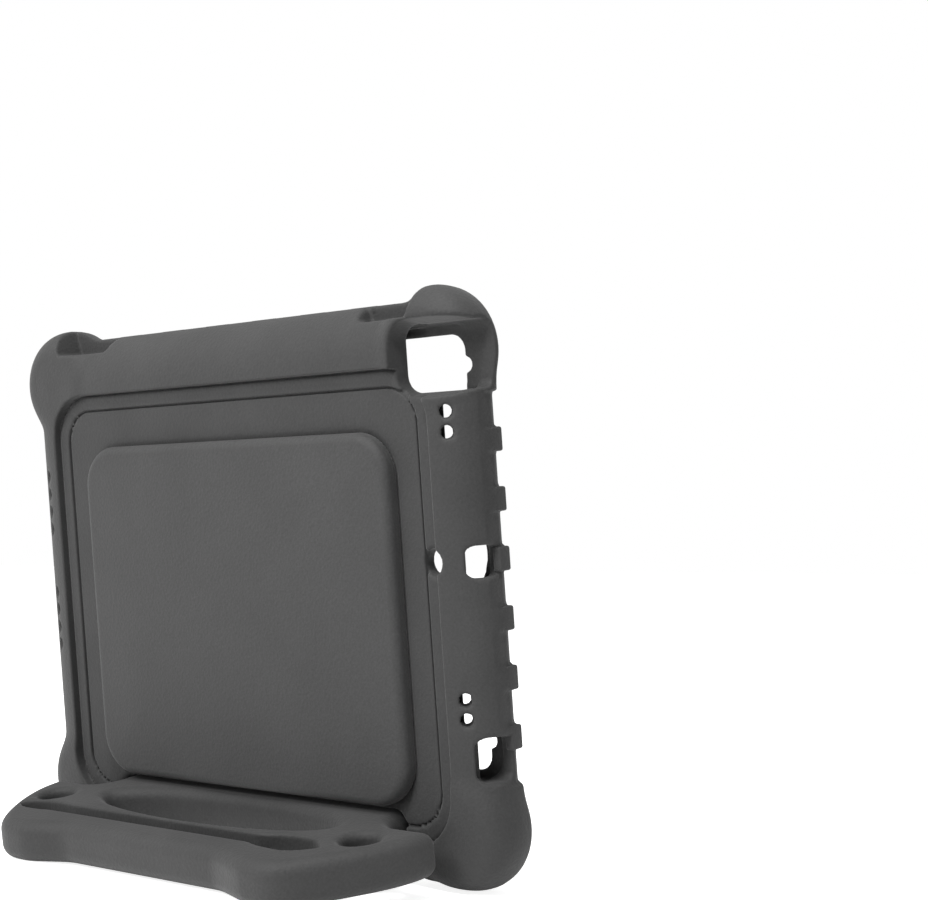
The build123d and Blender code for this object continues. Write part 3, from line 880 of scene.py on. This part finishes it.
@dataclass
class GripTeeth:
    """The teeth between the grip scoops, in rows along both side walls and the top wall."""

    stance: Stance
    shell: Shell
    proud: float = 0.05
    depth: float = 4.0
    near: float = 12.0
    far: float = 18.3
    edge_round: float = 0.9
    overlap: float = 0.3
    count: int = 6

    def sizes(self) -> dict[str, float]:
        """The tree's named inputs and their values, in metres."""
        side, top = self.shell.side_grips, self.shell.top_grips
        inset = self.proud - self.depth / 2
        return {
            "Depth": self.depth * MM,
            "Height": (self.far - self.near) * MM,
            "Back": -(self.near + self.far) / 2 * MM,
            "Teeth": self.count,
            "Side pitch": side.pitch * MM,
            "Side length": (side.pitch - side.length + self.overlap) * MM,
            "Side reach": (side.wall + inset) * MM,
            "Side middle": side.middle * MM,
            "Top pitch": top.pitch * MM,
            "Top length": (top.pitch - top.length + self.overlap) * MM,
            "Top reach": (top.wall + inset) * MM,
        }

    def tree(self, foam: Material) -> tuple[Tree, dict[str, str]]:
        """Builds the Geometry Nodes tree, and returns it with each named input's socket identifier."""
        tree = bpy.data.node_groups.new("grip_teeth", "GeometryNodeTree")
        tree.interface.new_socket("Teeth mesh", in_out="OUTPUT", socket_type="NodeSocketGeometry")
        sockets = {}
        for name in self.sizes():
            kind = "NodeSocketInt" if name == "Teeth" else "NodeSocketFloat"
            sockets[name] = tree.interface.new_socket(name, in_out="INPUT", socket_type=kind).identifier
        inlet = tree.nodes.new("NodeGroupInput").outputs

        def node(kind: str, inputs: dict, **options: object) -> Socket:
            """Adds a geometry node and returns its first output."""
            return add_node(tree, "GeometryNode" + kind, inputs, **options).outputs[0]

        def reckon(kind: str, first: Socket, second: object) -> Socket:
            """Combines two numbers."""
            return add_node(tree, "ShaderNodeMath", {0: first, 1: second}, operation=kind).outputs[0]

        def vector(x: object, y: object, z: object) -> Socket:
            """Makes a vector from three numbers or sockets."""
            return add_node(tree, "ShaderNodeCombineXYZ", {"X": x, "Y": y, "Z": z}).outputs[0]

        def row(length: Socket, pitch: Socket) -> Socket:
            """A row of square-edged teeth about the middle of the wall."""
            tooth = node("MeshCube", {"Size": vector(inlet["Depth"], inlet["Height"], length)})
            gaps = reckon("SUBTRACT", inlet["Teeth"], 1.0)
            first = reckon("MULTIPLY", reckon("MULTIPLY", gaps, pitch), -0.5)
            line = node("MeshLine", {"Count": inlet["Teeth"], "Start Location": vector(0.0, 0.0, first),
                                     "Offset": vector(0.0, 0.0, pitch)}, mode="OFFSET")
            return node("InstanceOnPoints", {"Points": line, "Instance": tooth})

        sides = row(inlet["Side length"], inlet["Side pitch"])
        top = row(inlet["Top length"], inlet["Top pitch"])
        other = reckon("MULTIPLY", inlet["Side reach"], -1.0)
        rows = add_node(tree, "GeometryNodeJoinGeometry")
        for shape, turn, place in (
            (sides, 0.0, vector(inlet["Side reach"], inlet["Back"], inlet["Side middle"])),
            (sides, pi, vector(other, inlet["Back"], inlet["Side middle"])),
            (top, -pi / 2, vector(0.0, inlet["Back"], inlet["Top reach"])),
        ):
            placed = node("Transform", {"Geometry": shape, "Rotation": (0.0, turn, 0.0), "Translation": place})
            tree.links.new(placed, rows.inputs[0])
        real = node("RealizeInstances", {"Geometry": rows.outputs[0]})
        coated = node("SetMaterial", {"Geometry": real, "Material": foam})
        add_node(tree, "NodeGroupOutput", {0: coated})
        return tree, sockets

    def build(self, foam: Material) -> Piece:
        """Makes the teeth a plain mesh and sets them on the case body."""
        tree, sockets = self.tree(foam)
        maker = add_object("teeth_maker", bpy.data.meshes.new("teeth_maker"))
        modifier = maker.modifiers.new("teeth", "NODES")
        modifier.node_group = tree
        for name, value in self.sizes().items():
            modifier[sockets[name]] = value
        bevel = maker.modifiers.new("edges", "BEVEL")
        bevel.width, bevel.segments = self.edge_round * MM, 3
        ready = maker.evaluated_get(bpy.context.evaluated_depsgraph_get())
        mesh = bpy.data.meshes.new_from_object(ready)
        maker.modifiers.clear()
        bpy.data.objects.remove(maker)
        mesh.transform(self.stance.place)
        mesh.shade_smooth()
        piece = add_object("grip_teeth", mesh)
        log.info("grip_teeth: %d faces", len(mesh.polygons))
        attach(piece, Body.CASE.value)
        return piece


@dataclass
class BackPad:
    """The raised pad on the back: a crowned foam cushion with a soft edge."""

    stance: Stance
    panel: Panel = Panel(91.4, 48.7, -97.8, 18.0, -1.5)
    rise: float = 5.0
    sink: float = 1.5
    crown: float = 0.9
    crown_reach: float = 34.0
    edge_round: float = 3.6
    seat_round: float = 0.5

    def distance(self, across: Array, up: Array, forward: Array) -> Array:
        """Signed distance to the pad."""
        plan = self.panel.plan(across, up)
        crown = self.crown * ramp(-plan, 0.0, self.crown_reach)
        pad = round_and(plan, -forward - self.rise - crown, self.edge_round)
        return round_and(pad, forward - self.sink, self.seat_round)

    def build(self, foam: Material) -> Piece:
        """Meshes the pad, finest at its edge, and sets it on the case body."""
        across = spaced(both_ways([(0.0, 3.0), (70.0, 1.6), (88.0, 0.7), (95.0, 0.7)]))
        up = spaced([(-100.0, 0.7), (-93.0, 1.6), (-74.0, 3.0), (25.0, 1.6), (44.0, 0.7), (51.0, 0.7)])
        forward = spaced([(-8.1, 0.6), (3.0, 0.6)])
        axes, to_row = (across, up, forward), self.stance.case_to_row
        piece = net_piece("back_pad_cushion", self.distance, axes, 0.4, to_row, foam)
        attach(piece, Body.CASE.value)
        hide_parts("back_pad")
        return piece


@dataclass(frozen=True)
class Hollow:
    """A finger hollow in the handle's face, pointed at one end and blunt at the other."""

    point: float
    blunt: float
    at: float
    half: float
    widest: float

    def outline(self, overhang: float) -> Outline:
        """The hollow's outline, as (across, distance behind the hinge)."""
        at, count = self.at - overhang, 22
        upper: Outline = []
        for index in range(count + 1):
            share = index / count
            if share < self.widest:
                width = sin(pi / 2 * share / self.widest) ** 0.8
            else:
                width = sqrt(max(0.0, 1 - ((share - self.widest) / (1 - self.widest)) ** 2.4))
            upper.append((self.point + (self.blunt - self.point) * share, self.half * width))
        return [(x, at + w) for x, w in upper] + [(x, at - w) for x, w in reversed(upper[1:-1])]


@dataclass
class Handle:
    """The carrying handle, which folds back as a prop and takes a stylus."""

    stance: Stance
    tab_half: float = 84.2
    tab_corner: float = 6.0
    shoulder_reach: float = 112.7
    shoulder_at: float = 29.7
    shoulder_r: float = 10.0
    tip_r: float = 3.5
    wing: tuple[Pair, ...] = ((105.3, 57.3), (85.1, 82.9))
    hump: Pair = (67.4, 87.6)
    valley: Pair = (42.8, 81.4)
    wing_pulls: tuple[Pair, ...] = ((0.0, 26.0), (-20.0, 0.0))
    dip_pull: Pair = (-18.0, 0.0)
    hand: Triple = (67.9, 16.0, 38.5)
    hand_round: float = 5.0
    strap: Triple = (91.2, 48.5, 7.7)
    strap_round: float = 3.2
    edge_round: float = 5.8
    slot: tuple[float, float, float, float] = (10.0, 63.5, 78.0, 4.5)
    slot_depth: float = 9.5
    slot_corner: float = 4.4
    slot_rounds: Pair = (2.5, 1.0)
    hollows: tuple[Hollow, ...] = (Hollow(-83.5, -47.0, 62.5, 8.0, 0.36), Hollow(97.0, 63.0, 63.3, 5.4, 0.4))
    hollow_rounds: Pair = (3.5, 1.6)

    def outline(self) -> Outline:
        """The handle's outline, as (across, distance behind the hinge)."""
        over = self.stance.overhang
        shoulder = self.shoulder_at - over
        half = [(0.0, -over)]
        half += arc((self.tab_half - self.tab_corner, self.tab_corner - over), self.tab_corner, -90, 0, 15)
        half += arc((self.tab_half + self.shoulder_r, shoulder - self.shoulder_r), self.shoulder_r, 180, 90, 10)
        half += arc((self.shoulder_reach - self.tip_r, shoulder + self.tip_r), self.tip_r, -90, 0, 15)
        hump, valley = [(x, y - over) for x, y in (self.hump, self.valley)]
        line = [(self.shoulder_reach, shoulder + self.tip_r)] + [(x, y - over) for x, y in self.wing]
        half += curve(line + [hump], *self.wing_pulls, 10)[1:]
        half += curve([hump, valley], self.dip_pull, self.dip_pull, 10)[1:]
        half.append((0.0, valley[1]))
        return mirrored(half)

    def field_at(self) -> Field:
        """Makes the handle's distance field, in across, reach behind the hinge and rise."""
        over, half_thick = self.stance.overhang, self.stance.handle_thickness / 2
        outline = polygon_field(self.outline())
        hand = polygon_field(ellipse((0.0, self.hand[2] - over), self.hand[:2]))
        bowls = [polygon_field(hollow.outline(over)) for hollow in self.hollows]
        strap_across, strap_at, strap_r = self.strap
        slot_across, slot_at, slot_long, slot_wide = self.slot

        def distance(across: Array, reach: Array, rise: Array) -> Array:
            """Signed distance to the handle."""
            thick = np.where(reach < 0, np.hypot(np.minimum(reach, 0.0), rise), np.abs(rise)) - half_thick
            loop = round_and(outline(across, reach), thick, self.edge_round)
            loop = round_cut(loop, hand(across, reach), self.hand_round)
            strap = np.hypot(np.abs(across) - strap_across, reach - strap_at + over) - strap_r
            loop = round_cut(loop, strap, self.strap_round)
            floor = half_thick - self.slot_depth - rise
            slot = round_box(across - slot_across, reach - slot_at + over, slot_long, slot_wide, self.slot_corner)
            cuts = [(slot, self.slot_rounds)]
            cuts += [(bowl(across, reach), self.hollow_rounds) for bowl in bowls]
            for cut, (floor_round, rim_round) in cuts:
                loop = round_cut(loop, round_and(cut, floor, floor_round), rim_round)
            return loop

        return distance

    def build(self, foam: Material) -> Piece:
        """Meshes the handle and sets it on the handle body."""
        across = spaced(both_ways([(0.0, 1.5), (40.0, 1.05), (115.5, 1.0)]))
        reach = spaced([(-11.0, 0.8), (-4.0, 1.2), (14.0, 1.0), (81.5, 1.0)])
        rise = spaced([(-11.0, 0.95), (11.0, 0.95)])
        axes, to_row = (across, reach, rise), self.stance.handle_to_row
        piece = net_piece("handle_loop", self.field_at(), axes, 0.45, to_row, foam)
        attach(piece, Body.HANDLE.value)
        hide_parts("handle")
        return piece


def dress_fittings(frame: dict, sleeve: Material, pin: Material) -> None:
    """Gives the plain hinge sleeves and pins of the loaded frame their plastic."""
    for name, node in frame["nodes"].items():
        if "sleeve" in name or "pin" in name:
            material = pin if "pin" in name else sleeve
            if not node.material_slots:
                node.data.materials.append(material)
            for slot in node.material_slots:
                slot.material = material


# ---- studio


@dataclass(frozen=True)
class Lamp:
    """A round area light that looks at the case: its place and size in metres, and its watts."""

    name: str
    place: Triple
    size: float
    power: float

    def build(self) -> None:
        """Adds the light."""
        data = bpy.data.lights.new(self.name, "AREA")
        data.shape, data.size, data.energy = "DISK", self.size, self.power
        lamp = add_object(self.name, data)
        lamp.location = self.place
        lamp.rotation_euler = (CASE_HEART - Vector(self.place)).to_track_quat("-Z", "Y").to_euler()


@dataclass(frozen=True)
class Studio:
    """Floor, lights and camera."""

    stance: Stance
    swing: float = 39.335
    rise: float = 1.445
    roll: float = -3.879
    distance: float = 703.87
    focal: float = 1676.7
    frame_width: float = 928.0
    sensor: float = 36.0
    shift_right: float = 96.49
    shift_up: float = 44.54
    sky_light: float = 0.36
    floor_glow: Pair = (0.1, 0.85)
    floor_size: float = 40.0
    lamps: tuple[Lamp, ...] = (
        Lamp("key", (0.25, 1.35, 1.15), 0.7, 24.0),
        Lamp("top", (-0.1, 0.25, 1.5), 0.6, 7.0),
        Lamp("corner", (-0.4, 0.6, 1.25), 0.25, 9.0),
    )

    def camera(self) -> None:
        """Sets the camera by its place about the case."""
        swing, rise, roll = radians(self.swing), radians(self.rise), radians(self.roll)
        behind = Vector((-sin(swing) * cos(rise), cos(swing) * cos(rise), sin(rise)))
        right = (-behind).cross(Vector((0, 0, 1))).normalized()
        up = right.cross(-behind)
        right, up = right * cos(roll) + up * sin(roll), up * cos(roll) - right * sin(roll)
        away = behind * self.distance + right * self.shift_right + up * self.shift_up
        axes = Matrix((right, up, behind)).transposed().to_4x4()
        data = bpy.data.cameras.new("camera")
        data.sensor_width = self.sensor
        data.lens = self.focal * self.sensor / self.frame_width
        data.clip_start = 0.01
        camera = add_object("camera", data)
        camera.matrix_world = self.stance.place @ Matrix.Translation(away * MM) @ axes
        bpy.context.scene.camera = camera

    def by_sight(self, tree: Tree, unseen: float, seen: float) -> Socket:
        """A number that is one value to the camera and another to the light."""
        sight = add_node(tree, "ShaderNodeLightPath").outputs["Is Camera Ray"]
        return spread(tree, sight, unseen, seen)

    def floor(self) -> None:
        """Lays the pale floor."""
        size = self.floor_size
        mesh = bpy.data.meshes.new("floor")
        corners = [(-size, -size, 0), (size, -size, 0), (size, size, 0), (-size, size, 0)]
        mesh.from_pydata(corners, [], [(0, 1, 2, 3)])
        material, tree, shader = new_material("floor_white")
        feed(tree, shader, {
            "Base Color": (0.93, 0.93, 0.93, 1),
            "Roughness": 0.9,
            "Emission Color": (1, 1, 1, 1),
            "Emission Strength": self.by_sight(tree, *self.floor_glow),
        })
        mesh.materials.append(material)
        floor = add_object("floor", mesh)

    def build(self) -> None:
        """Sets up the whole studio."""
        world = bpy.data.worlds.new("studio")
        world.use_nodes = True
        tree = world.node_tree
        feed(tree, tree.nodes["Background"], {"Color": (1, 1, 1, 1),
                                              "Strength": self.by_sight(tree, self.sky_light, 1.0)})
        bpy.context.scene.world = world
        bpy.context.scene.view_settings.view_transform = "Standard"
        self.floor()
        for lamp in self.lamps:
            lamp.build()
        self.camera()


def main() -> None:
    """Builds the case, its handle and the studio."""
    logging.basicConfig(level=logging.INFO)
    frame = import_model()
    stance = Stance()
    foam = Foam("shell_foam", 0.036).material()
    pad_foam = Foam("pad_foam", 0.043, mottle=0.1).material()
    handle_foam = Foam("handle_foam", 0.037).material()
    shell = Shell(stance)
    shell.build(foam)
    GripTeeth(stance, shell).build(foam)
    BackPad(stance).build(pad_foam)
    Handle(stance).build(handle_foam)
    dress_fittings(frame, Plastic("sleeve_black", 0.035).material(), Plastic("pin_grey", 0.09).material())
    Studio(stance).build()


if __name__ == "__main__":
    main()
